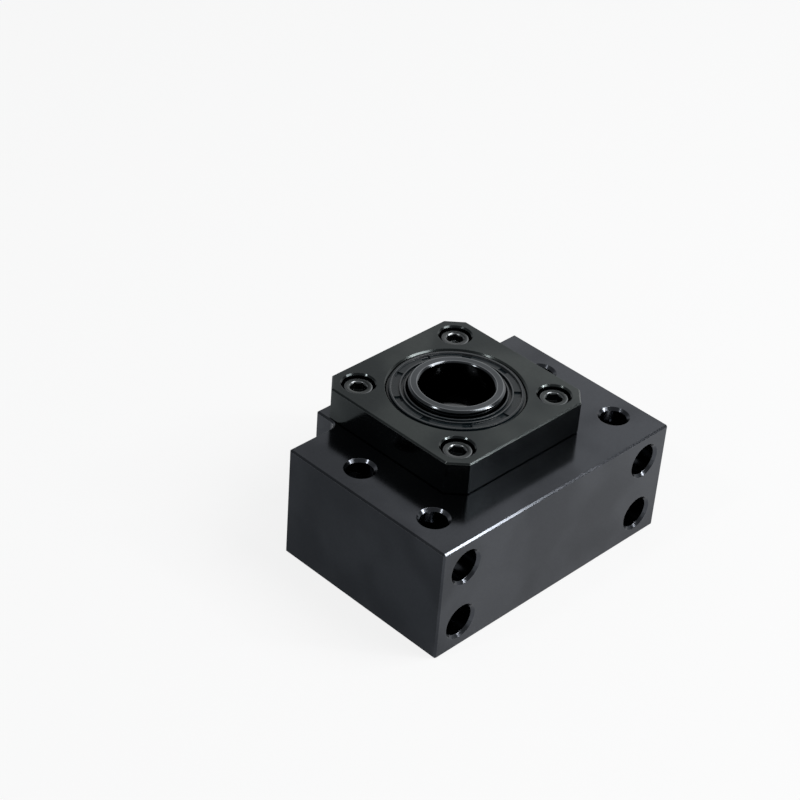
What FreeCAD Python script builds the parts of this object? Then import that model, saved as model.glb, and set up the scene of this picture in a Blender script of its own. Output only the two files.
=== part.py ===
import FreeCAD, Part
import Sketcher
import math
import os
import re

# Fixed side end support of a ball screw.
# The origin lies on the shaft axis in the rear face of the housing.
# Z runs along the shaft towards the cover, Y away from the mounting base, X across the width.

# Driving sizes in millimetres, with what each one is
SIZES = {
    # Housing block
    "axis_height": (48.0, "height of the shaft axis above the base"),
    "head_wall": (6.0, "housing wall beside and above the bearings"),
    "shoulder_width": (21.0, "width of the shoulder on each side of the head"),
    "shoulder_drop": (10.0, "from the top of the head down to the shoulders"),
    "step_fillet": (3.0, "radius in the corner between shoulder and head"),
    "rear_wall": (9.0, "from the rear face to the bearing seat"),
    "spigot_length": (3.0, "how far the cover reaches into the bearing bore"),
    "edge_chamfer": (0.6, "chamfer on the outer edges of the housing"),
    "hole_chamfer": (0.95, "chamfer at the mouths of the mounting holes"),
    "bore_chamfer": (0.5, "chamfer at the mouth of the bearing bore"),
    # Mounting holes
    "base_hole_diameter": (11.0, "hole through the block from shoulder to base"),
    "base_hole_setback": (10.0, "from the rear and front faces to the nearest row of base holes"),
    "counterbore_diameter": (17.5, "counterbore in the shoulder for a bolt head"),
    "counterbore_depth": (11.0, "depth of that counterbore"),
    "face_hole_diameter": (9.0, "hole through the block along the shaft axis"),
    "face_hole_pitch": (33.0, "from the upper to the lower pair of face holes"),
    # Cover
    "cover_rim": (5.5, "how far the cover reaches beyond the bearings"),
    "cover_corner": (5.5, "leg of the cut corners"),
    "cover_thickness": (12.0, "thickness of the plate"),
    "cover_chamfer": (0.5, "chamfer on the plate's edges"),
    "spigot_gap": (0.03, "radial play of the spigot in the bearing bore"),
    # Cover screws
    "screw_offset": (5.96, "from the wall of the bearing bore out to the axis of a screw"),
    "screw_diameter": (6.0, "outside diameter of the thread"),
    "screw_length": (16.0, "length under the head"),
    "screw_point": (0.8, "chamfer at the end of the thread"),
    "thread_gap": (0.05, "radial play between the screw and its tapped hole"),
    "thread_spare": (3.0, "tapped depth beyond the screw"),
    "drill_angle": (118.0, "point angle of the drill, in degrees"),
    "clearance_hole": (6.6, "hole in the cover for the screw"),
    "head_diameter": (10.0, "screw head"),
    "screw_head_height": (6.0, "height of the screw head"),
    "head_chamfer": (0.6, "chamfer on the screw head"),
    "head_pocket_gap": (0.5, "radial play of the head in its counterbore"),
    "head_sunk": (1.2, "how far the head lies below the cover's face"),
    "pocket_chamfer": (0.5, "chamfer at the mouth of that counterbore"),
    "socket_across": (5.0, "hexagon socket across flats"),
    "socket_depth": (3.0, "depth of the hexagon socket"),
    "turn_low_left": (9.0, "turn of the lower left screw, in degrees"),
    "turn_low_right": (19.0, "turn of the lower right screw, in degrees"),
    "turn_high_right": (42.0, "turn of the upper right screw, in degrees"),
    "turn_high_left": (15.0, "turn of the upper left screw, in degrees"),
    "socket_lead": (0.25, "chamfer round the mouth of the socket"),
    # Bearings
    "shaft_diameter": (25.0, "bore of the bearings and collars"),
    "bearing_diameter": (52.0, "outside of the bearings"),
    "bearing_width": (15.0, "width of one bearing"),
    "ring_corner": (1.0, "chamfer on the corners of the rings"),
    "seat_gap": (0.02, "radial play of a ring or a seal in its seat"),
    "ball_share": (0.294, "ball diameter as a share of the bearing's outside less its bore"),
    "ball_count": (12, "balls in one bearing"),
    "raceway_gap": (0.06, "play between a ball and its raceways"),
    "high_shoulder": (2.0, "groove depth on the side that takes the thrust"),
    "low_shoulder": (0.55, "groove depth on the open side"),
    "cage_gap": (0.48, "radial play between the cage and the high shoulders of the rings"),
    "cage_inset": (2.0, "from the bearing's face to the cage"),
    "pocket_gap": (0.13, "radial play of a ball in its cage pocket"),
    # Collars
    "collar_wall": (3.5, "thickness of the collars"),
    "collar_proud": (2.2, "how far the front collar stands out of the cover"),
    "collar_inset": (0.2, "how far the rear collar lies below the rear face"),
    "collar_edge": (0.5, "chamfer on the outside of the collars"),
    "collar_lead": (0.6, "chamfer at the front collar's mouth and at the bearings"),
    "rear_lead": (0.5, "chamfer at the rear collar's mouth"),
    # Seals
    "seal_step": (3.0, "how much smaller a seal's radius is than that of the bearings"),
    "seal_width": (6.0, "width of a seal"),
    "front_seal_inset": (0.1, "how far the front seal lies below the cover's face"),
    "rear_seal_inset": (0.5, "how far the rear seal lies below the rear face"),
    "seal_ledge": (2.0, "width of the ledge that a seal rests on"),
    "seat_chamfer": (0.55, "chamfer at the mouth of a seal seat"),
    "seal_edge": (0.45, "chamfer on the seal's outside"),
    "seal_wall": (1.4, "thickness of the seal's outer wall"),
    "seal_web": (1.3, "thickness of the seal's web under the notches"),
    "rim_width": (1.15, "flat rim at the outside of the seal's face"),
    "pad_drop": (0.6, "how far the pads lie below the rim"),
    "notch_count": (9, "notches between the pads"),
    "notch_start": (34.4, "turn of the first notch from the X direction, in degrees"),
    "notch_span": (9.0, "angle that a notch takes up, in degrees"),
    "notch_depth": (0.5, "depth of a notch below the pads"),
    "lip_gap": (0.1, "running play between the lip and the collar"),
    "mouth_gap": (0.7, "open ring between the collar and the seal's face"),
    "lip_band": (0.55, "raised ring at the inside of the seal's face"),
    "valley_width": (0.95, "groove outside that ring"),
    "valley_depth": (1.0, "depth of that groove"),
    "ridge_width": (0.6, "raised ring between groove and pads"),
    "lip_tip": (3.0, "depth of the lip's edge below the seal's face"),
    "lip_end": (4.7, "depth of the lip's end below the seal's face"),
    "lip_flare": (0.5, "how far the lip opens from its edge to its end"),
    "lip_thickness": (1.1, "thickness of the lip under its spring"),
    "spring_wire": (1.1, "outside diameter of the garter spring's coil"),
    "spring_sink": (0.4, "how deep the spring lies in the lip"),
    "spring_gap": (0.02, "play of the spring in its groove"),
}

doc = FreeCAD.newDocument("screw_end_support")
sheet = doc.addObject("Spreadsheet::Sheet", "Sizes")
for row, (name, (number, meaning)) in enumerate(SIZES.items(), start=1):
    sheet.set("A%d" % row, meaning)
    sheet.set("B%d" % row, str(number))
    sheet.setAlias("B%d" % row, name)
doc.recompute()

# Places that several pieces share, as formulas of the driving sizes
HOUSING_DEPTH = "(rear_wall + 2 * bearing_width + spigot_length)"
FRONT_FACE = "(%s + cover_thickness)" % HOUSING_DEPTH
BORE_RADIUS = "(bearing_diameter / 2)"
HEAD_SIDE = "(%s + head_wall)" % BORE_RADIUS
BLOCK_SIDE = "(%s + shoulder_width)" % HEAD_SIDE
SHOULDER = "(%s - shoulder_drop)" % HEAD_SIDE
HOLE_LINE = "(%s + shoulder_width / 2)" % HEAD_SIDE
COVER_SIDE = "(%s + cover_rim)" % BORE_RADIUS
SCREW_LINE = "((%s + screw_offset) / sqrt(2))" % BORE_RADIUS
BALL_RING = "((bearing_diameter + shaft_diameter) / 4)"
BALL_RADIUS = "(ball_share * (bearing_diameter - shaft_diameter) / 2)"
GROOVE = "(%s + raceway_gap)" % BALL_RADIUS
OUTER_HIGH = "(%s + %s - high_shoulder)" % (BALL_RING, GROOVE)
INNER_HIGH = "(%s - %s + high_shoulder)" % (BALL_RING, GROOVE)
SEAL_RADIUS = "(%s - seal_step)" % BORE_RADIUS
LEDGE_RADIUS = "(%s - seal_ledge)" % SEAL_RADIUS
COLLAR_RADIUS = "(shaft_diameter / 2 + collar_wall)"
LIP_RADIUS = "(%s + lip_gap)" % COLLAR_RADIUS
LIP_BACK = "(%s + lip_thickness + spring_sink)" % LIP_RADIUS
SPRING_RING = "(%s + spring_wire / 2 - spring_sink)" % LIP_BACK
SPRING_DEPTH = "-(lip_tip + lip_end) / 2"
STACK_END = "(rear_wall + 2 * bearing_width)"
HEAD_POCKET = "(head_diameter / 2 + head_pocket_gap)"
HEAD_POCKET_DEPTH = "(screw_head_height + head_sunk)"

nodes = []


def size(name):
    """Number that the sheet holds under a name."""
    return SIZES[name][0]


def formula(text):
    """Formula text with every size name turned into its cell in the sheet."""
    names = "|".join(sorted(SIZES, key=len, reverse=True))
    return re.sub(r"\b(%s)\b" % names, r"Sizes.\1", text)


def bind(item, prop, text):
    """Tie a property of an object to a formula of the driving sizes."""
    item.setExpression(prop, formula(text))


def new_body(label, turn=0.0, lift="0"):
    """Empty body, turned about X by an angle in degrees and lifted along Z by a formula."""
    body = doc.addObject("PartDesign::Body", label)
    body.Label = label
    body.Placement = FreeCAD.Placement(FreeCAD.Vector(), FreeCAD.Rotation(FreeCAD.Vector(1, 0, 0), turn))
    bind(body, "Placement.Base.z", lift)
    nodes.append(body)
    return body


def origin_item(body, role):
    """Plane or axis of the body's own origin."""
    return [item for item in body.Origin.OriginFeatures if item.Role == role][0]


def new_sketch(body, name, role, across="0", lift="0"):
    """Empty sketch on an origin plane, moved in the plane and along its normal by formulas."""
    sketch = body.newObject("Sketcher::SketchObject", name)
    sketch.AttachmentSupport = [(origin_item(body, role), "")]
    sketch.MapMode = "FlatFace"
    bind(sketch, "AttachmentOffset.Base.x", across)
    bind(sketch, "AttachmentOffset.Base.z", lift)
    return sketch


def hold_point(sketch, geometry, point, x, y):
    """Hold a point of a sketch at two formulas, counted from the sketch's origin."""
    for kind, axis, text in (("DistanceX", -2, x), ("DistanceY", -1, y)):
        if text == "0":
            sketch.addConstraint(Sketcher.Constraint("PointOnObject", geometry, point, axis))
        else:
            index = sketch.addConstraint(Sketcher.Constraint(kind, -1, 1, geometry, point, 1.0))
            bind(sketch, "Constraints[%d]" % index, text)


def draw_outline(sketch, corners):
    """Closed outline of straight lines, each corner a pair of formulas."""
    turns = [2 * math.pi * i / len(corners) for i in range(len(corners))]
    rough = [FreeCAD.Vector(math.cos(turn), math.sin(turn), 0) for turn in turns]
    lines = [sketch.addGeometry(Part.LineSegment(rough[i - 1], rough[i])) for i in range(len(rough))]
    for i, line in enumerate(lines):
        sketch.addConstraint(Sketcher.Constraint("Coincident", lines[i - 1], 2, line, 1))
    for line, (x, y) in zip(lines, corners):
        hold_point(sketch, line, 2, x, y)


def draw_circle(sketch, x, y, radius):
    """Circle with its centre and radius held at formulas."""
    circle = sketch.addGeometry(Part.Circle(FreeCAD.Vector(), FreeCAD.Vector(0, 0, 1), 1.0))
    hold_point(sketch, circle, 3, x, y)
    index = sketch.addConstraint(Sketcher.Constraint("Radius", circle, 1.0))
    bind(sketch, "Constraints[%d]" % index, radius)


def add_pad(body, sketch, length, downwards=False):
    """Solid raised from a sketch on the XY plane."""
    pad = body.newObject("PartDesign::Pad", sketch.Name + "_pad")
    pad.Profile = sketch
    pad.Reversed = downwards
    bind(pad, "Length", length)
    doc.recompute()
    return pad


def add_pocket(body, sketch, depth=None, against_normal=True):
    """Pocket cut from a sketch, right through where no depth is given."""
    pocket = body.newObject("PartDesign::Pocket", sketch.Name + "_pocket")
    pocket.Profile = sketch
    pocket.Reversed = not against_normal
    if depth is None:
        pocket.Type = "ThroughAll"
    else:
        bind(pocket, "Length", depth)
    doc.recompute()
    return pocket


def add_turned(body, kind, name, corners, across="0", lift="0"):
    """Full turn of an outline about the sketch's upright axis: a Revolution adds, a Groove cuts."""
    sketch = new_sketch(body, name, "XZ_Plane", across, lift)
    draw_outline(sketch, corners)
    return turn_sketch(body, kind, sketch)


def turn_sketch(body, kind, sketch):
    """Full turn of a drawn sketch about its own upright axis."""
    feature = body.newObject("PartDesign::" + kind, sketch.Name + "_turned")
    feature.Profile = sketch
    feature.ReferenceAxis = (sketch, ["V_Axis"])
    feature.Angle = 360.0
    doc.recompute()
    return feature


def repeat_round(body, features, count):
    """Copies of features, spread evenly about the shaft axis."""
    pattern = body.newObject("PartDesign::PolarPattern", features[0].Name + "_round")
    pattern.Originals = features
    pattern.Axis = (origin_item(body, "Z_Axis"), [""])
    pattern.Angle = 360.0
    bind(pattern, "Occurrences", count)
    body.Tip = pattern
    doc.recompute()
    return pattern


def dress_edges(body, kind, base, wanted, text):
    """Chamfer or Fillet on the edges of a feature that a test picks."""
    feature = body.newObject("PartDesign::" + kind, base.Name + "_" + kind.lower())
    picked = ["Edge%d" % (i + 1) for i, edge in enumerate(base.Shape.Edges) if wanted(edge)]
    feature.Base = (base, picked)
    bind(feature, "Radius" if kind == "Fillet" else "Size", text)
    doc.recompute()
    return feature


def near(a, b):
    """True where two lengths are the same but for rounding."""
    return abs(a - b) < 1e-4


def mirrored_places(half_spacing, heights):
    """Pairs of formulas, left and right of the middle at each height."""
    return [(side + half_spacing, height) for height in heights for side in ("-", "")]


def make_housing():
    """Ground block with a raised head, a stepped bore and mounting holes in two directions."""
    body = new_body("housing")
    base = "-axis_height"
    outline = new_sketch(body, "housing_outline", "XY_Plane")
    draw_outline(outline, [
        ("-" + BLOCK_SIDE, base),
        (BLOCK_SIDE, base),
        (BLOCK_SIDE, SHOULDER),
        (HEAD_SIDE, SHOULDER),
        (HEAD_SIDE, HEAD_SIDE),
        ("-" + HEAD_SIDE, HEAD_SIDE),
        ("-" + HEAD_SIDE, SHOULDER),
        ("-" + BLOCK_SIDE, SHOULDER),
    ])
    block = add_pad(body, outline, HOUSING_DEPTH)

    head_x = size("bearing_diameter") / 2 + size("head_wall")
    side_x = head_x + size("shoulder_width")
    shoulder_y = head_x - size("shoulder_drop")
    depth = block.Shape.BoundBox.ZMax

    def runs_upright(edge):
        return near(edge.BoundBox.XLength, 0) and near(edge.BoundBox.YLength, 0)

    def in_step_corner(edge):
        centre = edge.CenterOfMass
        return runs_upright(edge) and near(abs(centre.x), head_x) and near(centre.y, shoulder_y)

    def on_outside(edge):
        centre = edge.CenterOfMass
        on_end = near(edge.BoundBox.ZLength, 0) and (near(centre.z, 0) or near(centre.z, depth))
        on_side = runs_upright(edge) and near(abs(centre.x), side_x)
        above_step = centre.y > shoulder_y + size("step_fillet")
        on_head = runs_upright(edge) and near(abs(centre.x), head_x) and above_step
        return on_end or on_side or on_head

    filleted = dress_edges(body, "Fillet", block, in_step_corner, "step_fillet")
    dress_edges(body, "Chamfer", filleted, on_outside, "edge_chamfer")

    seat = "(seal_width + rear_seal_inset)"
    add_turned(body, "Groove", "housing_bore", [
        ("0", "0"),
        (SEAL_RADIUS + " + seat_chamfer", "0"),
        (SEAL_RADIUS, "seat_chamfer"),
        (SEAL_RADIUS, seat),
        (LEDGE_RADIUS, seat),
        (LEDGE_RADIUS, "rear_wall"),
        (BORE_RADIUS, "rear_wall"),
        (BORE_RADIUS, HOUSING_DEPTH + " - bore_chamfer"),
        (BORE_RADIUS + " + bore_chamfer", HOUSING_DEPTH),
        ("0", HOUSING_DEPTH),
    ])

    tapped_radius = "(screw_diameter / 2 + thread_gap)"
    tapped_depth = "(screw_length - cover_thickness + %s + thread_spare)" % HEAD_POCKET_DEPTH
    tapped_end = "(%s - %s)" % (HOUSING_DEPTH, tapped_depth)
    tapped = add_turned(body, "Groove", "tapped_hole", [
        ("0", HOUSING_DEPTH),
        (tapped_radius, HOUSING_DEPTH),
        (tapped_radius, tapped_end),
        ("0", "%s - %s / tan(drill_angle / 2)" % (tapped_end, tapped_radius)),
    ], SCREW_LINE, "-" + SCREW_LINE)
    repeat_round(body, [tapped], "4")

    face_holes = new_sketch(body, "face_holes", "XY_Plane")
    for x, y in mirrored_places(HOLE_LINE, ("0", "-face_hole_pitch")):
        draw_circle(face_holes, x, y, "face_hole_diameter / 2")
    add_pocket(body, face_holes, against_normal=False)

    rows = ("base_hole_setback", HOUSING_DEPTH + " - base_hole_setback")
    base_holes = new_sketch(body, "base_holes", "XZ_Plane", lift="axis_height")
    for x, z in mirrored_places(HOLE_LINE, rows):
        draw_circle(base_holes, x, z, "base_hole_diameter / 2")
    add_pocket(body, base_holes)

    counterbores = new_sketch(body, "counterbores", "XZ_Plane", lift="-" + SHOULDER)
    for x, z in mirrored_places(HOLE_LINE, rows):
        draw_circle(counterbores, x, z, "counterbore_diameter / 2")
    sunk = add_pocket(body, counterbores, "counterbore_depth", against_normal=False)

    def at_hole_mouth(edge):
        if not isinstance(edge.Curve, Part.Circle):
            return False
        centre = edge.Curve.Center
        of_face_hole = near(edge.Curve.Radius, size("face_hole_diameter") / 2)
        of_base_hole = near(edge.Curve.Radius, size("base_hole_diameter") / 2)
        on_ends = near(centre.z, 0) or near(centre.z, depth)
        on_base = near(centre.y, -size("axis_height"))
        return (of_face_hole and on_ends) or (of_base_hole and on_base)

    dress_edges(body, "Chamfer", sunk, at_hole_mouth, "hole_chamfer")


def make_cover():
    """Square plate with cut corners, a spigot that holds the bearings and a seat for the front seal."""
    body = new_body("bearing_cover", lift=HOUSING_DEPTH)
    cut = "(%s - cover_corner)" % COVER_SIDE
    plate = new_sketch(body, "cover_outline", "XY_Plane")
    draw_outline(plate, [
        ("-" + cut, "-" + COVER_SIDE),
        (cut, "-" + COVER_SIDE),
        (COVER_SIDE, "-" + cut),
        (COVER_SIDE, cut),
        (cut, COVER_SIDE),
        ("-" + cut, COVER_SIDE),
        ("-" + COVER_SIDE, cut),
        ("-" + COVER_SIDE, "-" + cut),
    ])
    pad = add_pad(body, plate, "cover_thickness")
    dress_edges(body, "Chamfer", pad, lambda edge: near(edge.BoundBox.ZLength, 0), "cover_chamfer")

    spigot = new_sketch(body, "spigot", "XY_Plane")
    draw_circle(spigot, "0", "0", BORE_RADIUS + " - spigot_gap")
    add_pad(body, spigot, "spigot_length", downwards=True)

    seat = "cover_thickness - seal_width - front_seal_inset"
    add_turned(body, "Groove", "cover_bore", [
        ("0", "-spigot_length"),
        (LEDGE_RADIUS, "-spigot_length"),
        (LEDGE_RADIUS, seat),
        (SEAL_RADIUS, seat),
        (SEAL_RADIUS, "cover_thickness - seat_chamfer"),
        (SEAL_RADIUS + " + seat_chamfer", "cover_thickness"),
        ("0", "cover_thickness"),
    ])

    floor = "cover_thickness - " + HEAD_POCKET_DEPTH
    hole = add_turned(body, "Groove", "screw_hole", [
        ("0", "0"),
        ("clearance_hole / 2", "0"),
        ("clearance_hole / 2", floor),
        (HEAD_POCKET, floor),
        (HEAD_POCKET, "cover_thickness - pocket_chamfer"),
        (HEAD_POCKET + " + pocket_chamfer", "cover_thickness"),
        ("0", "cover_thickness"),
    ], SCREW_LINE, "-" + SCREW_LINE)
    repeat_round(body, [hole], "4")


def add_cover_screw(body, name, side, level, turn):
    """One socket head cap screw, left or right and below or above the shaft, with its own turn."""
    thread = "screw_diameter / 2"
    head = "head_diameter / 2"
    across = side + SCREW_LINE
    up = level + SCREW_LINE
    place = (across, "-(%s)" % up)
    add_turned(body, "Revolution", name, [
        ("0", "-screw_length"),
        (thread + " - screw_point", "-screw_length"),
        (thread, "screw_point - screw_length"),
        (thread, "0"),
        (head, "0"),
        (head, "screw_head_height - head_chamfer"),
        (head + " - head_chamfer", "screw_head_height"),
        ("0", "screw_head_height"),
    ], *place)

    corner = "(socket_across / sqrt(3))"
    turns = ["(%s + %d)" % (turn, step) for step in range(0, 360, 60)]
    socket = new_sketch(body, name + "_socket", "XY_Plane", lift="screw_head_height")
    draw_outline(socket, [
        ("%s + %s * cos%s" % (across, corner, step), "%s + %s * sin%s" % (up, corner, step))
        for step in turns
    ])
    add_pocket(body, socket, "socket_depth")
    add_turned(body, "Groove", name + "_lead", [
        ("0", "screw_head_height"),
        (corner + " + socket_lead", "screw_head_height"),
        (corner + " - socket_lead", "screw_head_height - 2 * socket_lead"),
        ("0", "screw_head_height - 2 * socket_lead"),
    ], *place)


def make_cover_screws():
    """Four screws that clamp the cover, counted from the seat of their heads."""
    body = new_body("cover_screws", lift="%s - %s" % (FRONT_FACE, HEAD_POCKET_DEPTH))
    add_cover_screw(body, "low_left_screw", "-", "-", "turn_low_left")
    add_cover_screw(body, "low_right_screw", "", "-", "turn_low_right")
    add_cover_screw(body, "high_right_screw", "", "", "turn_high_right")
    add_cover_screw(body, "high_left_screw", "-", "", "turn_high_left")


def make_seal(label, turn, lift):
    """Rubber shaft seal with its face at Z = 0, a notched ring of pads and a lip against the collar."""
    body = new_body(label, turn, lift)
    outside = "(%s - seat_gap)" % SEAL_RADIUS
    rim = "(%s - seal_edge - rim_width)" % outside
    mouth = "(%s + mouth_gap)" % COLLAR_RADIUS
    band = "(%s + lip_band)" % mouth
    valley = "(%s + valley_width)" % band
    ridge = "(%s + ridge_width)" % valley
    web = "-(pad_drop + notch_depth + seal_web)"
    wall = "(%s - seal_wall)" % outside
    add_turned(body, "Revolution", label + "_section", [
        (outside, "-seal_width"),
        (outside, "-seal_edge"),
        (outside + " - seal_edge", "0"),
        (rim, "0"),
        (rim, "-pad_drop"),
        (ridge, "-pad_drop"),
        (ridge, "0"),
        (valley, "0"),
        (valley, "-valley_depth"),
        (band, "-valley_depth"),
        (band, "0"),
        (mouth, "0"),
        (LIP_RADIUS, "-lip_tip"),
        (LIP_RADIUS + " + lip_flare", "-lip_end"),
        (LIP_BACK, "-lip_end"),
        (LIP_BACK, web),
        (wall, web),
        (wall, "-seal_width"),
    ])
    spring_seat = new_sketch(body, label + "_spring_seat", "XZ_Plane")
    draw_circle(spring_seat, SPRING_RING, SPRING_DEPTH, "spring_wire / 2 + spring_gap")
    turn_sketch(body, "Groove", spring_seat)

    notch = new_sketch(body, label + "_notch", "XZ_Plane")
    notch.AttachmentOffset = FreeCAD.Placement(FreeCAD.Vector(), FreeCAD.Rotation(FreeCAD.Vector(0, 1, 0), 1))
    bind(notch, "AttachmentOffset.Rotation.Angle", "notch_start")
    draw_outline(notch, [
        (ridge, "-pad_drop - notch_depth"),
        (rim, "-pad_drop - notch_depth"),
        (rim, "-pad_drop"),
        (ridge, "-pad_drop"),
    ])
    cut = turn_sketch(body, "Groove", notch)
    cut.Midplane = True
    bind(cut, "Angle", "notch_span")
    doc.recompute()
    repeat_round(body, [cut], "notch_count")


def make_garter_spring(label, lift):
    """Ring of close wound wire that presses the seal's lip on its collar."""
    ring = doc.addObject("Part::Torus", label)
    ring.Label = label
    bind(ring, "Radius1", SPRING_RING)
    bind(ring, "Radius2", "spring_wire / 2")
    bind(ring, "Placement.Base.z", lift)
    nodes.append(ring)


def make_collar(label, turn, lift, length, lead):
    """Spacer ring on the shaft, with its inner end at Z = 0 and its own chamfer at the open end."""
    body = new_body(label, turn, lift)
    bore = "shaft_diameter / 2"
    add_turned(body, "Revolution", label + "_section", [
        (bore + " + collar_lead", "0"),
        (COLLAR_RADIUS + " - collar_edge", "0"),
        (COLLAR_RADIUS, "collar_edge"),
        (COLLAR_RADIUS, length + " - collar_edge"),
        (COLLAR_RADIUS + " - collar_edge", length),
        ("%s + %s" % (bore, lead), length),
        (bore, "%s - %s" % (length, lead)),
        (bore, "collar_lead"),
    ])


def cut_raceway(body):
    """Round groove for the balls, in the middle of a ring."""
    raceway = new_sketch(body, body.Name + "_raceway", "XZ_Plane")
    draw_circle(raceway, BALL_RING, "bearing_width / 2", GROOVE)
    turn_sketch(body, "Groove", raceway)


def make_outer_ring(label, turn, lift):
    """Outer bearing ring with its high shoulder at Z = 0."""
    body = new_body(label, turn, lift)
    outside = "(%s - seat_gap)" % BORE_RADIUS
    low = "(%s + %s - low_shoulder)" % (BALL_RING, GROOVE)
    add_turned(body, "Revolution", label + "_section", [
        (OUTER_HIGH, "0"),
        (outside + " - ring_corner", "0"),
        (outside, "ring_corner"),
        (outside, "bearing_width - ring_corner"),
        (outside + " - ring_corner", "bearing_width"),
        (low, "bearing_width"),
        (low, "bearing_width / 2"),
        (OUTER_HIGH, "bearing_width / 2"),
    ])
    cut_raceway(body)


def make_inner_ring(label, turn, lift):
    """Inner bearing ring with its low shoulder at Z = 0."""
    body = new_body(label, turn, lift)
    bore = "shaft_diameter / 2"
    low = "(%s - %s + low_shoulder)" % (BALL_RING, GROOVE)
    add_turned(body, "Revolution", label + "_section", [
        (bore + " + ring_corner", "0"),
        (low, "0"),
        (low, "bearing_width / 2"),
        (INNER_HIGH, "bearing_width / 2"),
        (INNER_HIGH, "bearing_width"),
        (bore + " + ring_corner", "bearing_width"),
        (bore, "bearing_width - ring_corner"),
        (bore, "ring_corner"),
    ])
    cut_raceway(body)


def make_cage(label, turn, lift):
    """Moulded cage, a ring with one round pocket for each ball."""
    body = new_body(label, turn, lift)
    inside = "(%s + cage_gap)" % INNER_HIGH
    outside = "(%s - cage_gap)" % OUTER_HIGH
    add_turned(body, "Revolution", label + "_section", [
        (inside, "cage_inset"),
        (outside, "cage_inset"),
        (outside, "bearing_width - cage_inset"),
        (inside, "bearing_width - cage_inset"),
    ])
    pocket = new_sketch(body, label + "_pocket", "XZ_Plane")
    draw_circle(pocket, "0", "bearing_width / 2", BALL_RADIUS + " + pocket_gap")
    cut = add_pocket(body, pocket)
    repeat_round(body, [cut], "ball_count")


def make_ball(label, index, lift):
    """Ball in the cage pocket of the same number."""
    ball = doc.addObject("Part::Sphere", label)
    ball.Label = label
    turn = "(90 + 360 * %d / ball_count)" % index
    bind(ball, "Radius", BALL_RADIUS)
    bind(ball, "Placement.Base.x", "%s * cos%s" % (BALL_RING, turn))
    bind(ball, "Placement.Base.y", "%s * sin%s" % (BALL_RING, turn))
    bind(ball, "Placement.Base.z", lift)
    nodes.append(ball)


make_housing()
make_cover()
make_cover_screws()

make_seal("front_seal", 0.0, FRONT_FACE + " - front_seal_inset")
make_seal("rear_seal", 180.0, "rear_seal_inset")
make_garter_spring("front_seal_spring", "%s - front_seal_inset + %s" % (FRONT_FACE, SPRING_DEPTH))
make_garter_spring("rear_seal_spring", "rear_seal_inset - (%s)" % SPRING_DEPTH)
make_collar("front_collar", 0.0, STACK_END, "(spigot_length + cover_thickness + collar_proud)", "collar_lead")
make_collar("rear_collar", 180.0, "rear_wall", "(rear_wall - collar_inset)", "rear_lead")

# The two bearings stand face to face, so the front one is the rear one turned over
BEARINGS = (
    ("rear", 0.0, "rear_wall", "rear_wall + bearing_width / 2"),
    ("front", 180.0, STACK_END, "rear_wall + bearing_width * 3 / 2"),
)
for row_name, turn, face, middle in BEARINGS:
    make_outer_ring(row_name + "_bearing_outer_ring", turn, face)
    make_inner_ring(row_name + "_bearing_inner_ring", turn, face)
    make_cage(row_name + "_cage", turn, face)
    for index in range(size("ball_count")):
        make_ball("%s_ball_%02d" % (row_name, index + 1), index, middle)

doc.recompute()
for item in doc.Objects:
    if "Invalid" in item.State or "Error" in item.State:
        raise RuntimeError("%s could not be built: %s" % (item.Label, item.State))
for node in nodes:
    if node.Shape.isNull() or not node.Shape.isValid():
        raise RuntimeError("%s has no valid shape" % node.Label)

os.makedirs("parts", exist_ok=True)
for node in nodes:
    node.Shape.exportStep("parts/%s.step" % node.Label)
print("%d pieces written" % len(nodes))
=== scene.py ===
"""Looks of a fixed side ball screw end support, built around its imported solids.

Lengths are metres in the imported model's own frame: the origin lies on the shaft axis in the
housing's rear face, Z runs along the shaft towards the cover and -Y towards the mounting base.
"""

import logging
import math
from dataclasses import dataclass, field
from enum import Enum
from typing import Callable, ClassVar, Iterable, Optional, Sequence, Union

import bmesh
import bpy
from mathutils import Matrix, Vector

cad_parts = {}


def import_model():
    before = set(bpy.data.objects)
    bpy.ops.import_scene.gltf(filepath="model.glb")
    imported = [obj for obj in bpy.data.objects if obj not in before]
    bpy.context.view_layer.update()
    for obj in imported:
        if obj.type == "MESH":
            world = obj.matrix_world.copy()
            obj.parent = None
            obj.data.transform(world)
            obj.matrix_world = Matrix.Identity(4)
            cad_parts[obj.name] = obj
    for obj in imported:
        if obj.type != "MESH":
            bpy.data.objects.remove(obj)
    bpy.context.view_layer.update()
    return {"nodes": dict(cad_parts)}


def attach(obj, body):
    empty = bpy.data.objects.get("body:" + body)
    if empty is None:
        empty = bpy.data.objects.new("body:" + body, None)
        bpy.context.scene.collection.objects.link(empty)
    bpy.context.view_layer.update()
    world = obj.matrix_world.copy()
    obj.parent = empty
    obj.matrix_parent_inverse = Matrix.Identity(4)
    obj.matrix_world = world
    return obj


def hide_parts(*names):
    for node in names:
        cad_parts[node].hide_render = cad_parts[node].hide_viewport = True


LOG = logging.getLogger("end_support")
MM = 0.001
FULL_TURN = 2 * math.pi

Point = tuple[float, float]
Span = tuple[float, float]
Place = tuple[float, float, float]
Colour = tuple[float, float, float]
Face = tuple[int, ...]
Nodes = dict[str, bpy.types.Object]
Socket = bpy.types.NodeSocket
Input = Union[Socket, float, Sequence[float]]

WHITE: Colour = (1.0, 1.0, 1.0)
FADE_IN: Span = (0.0, 1.0)
FADE_OUT: Span = (1.0, 0.0)


class Body(Enum):
    """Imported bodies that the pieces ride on."""

    HOUSING = "housing"
    ROTOR = "rotor"


class Side(Enum):
    """End of the support that a seal, spring or collar belongs to."""

    FRONT = "front"
    REAR = "rear"

    @property
    def sign(self) -> int:
        """Way that the end faces along Z."""
        return 1 if self is Side.FRONT else -1


class Grain(Enum):
    """Way that the tool marks of a machined surface run."""

    ALONG_X = "along_x"
    ROUND_AXIS = "round_axis"
    NONE = "none"


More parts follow.
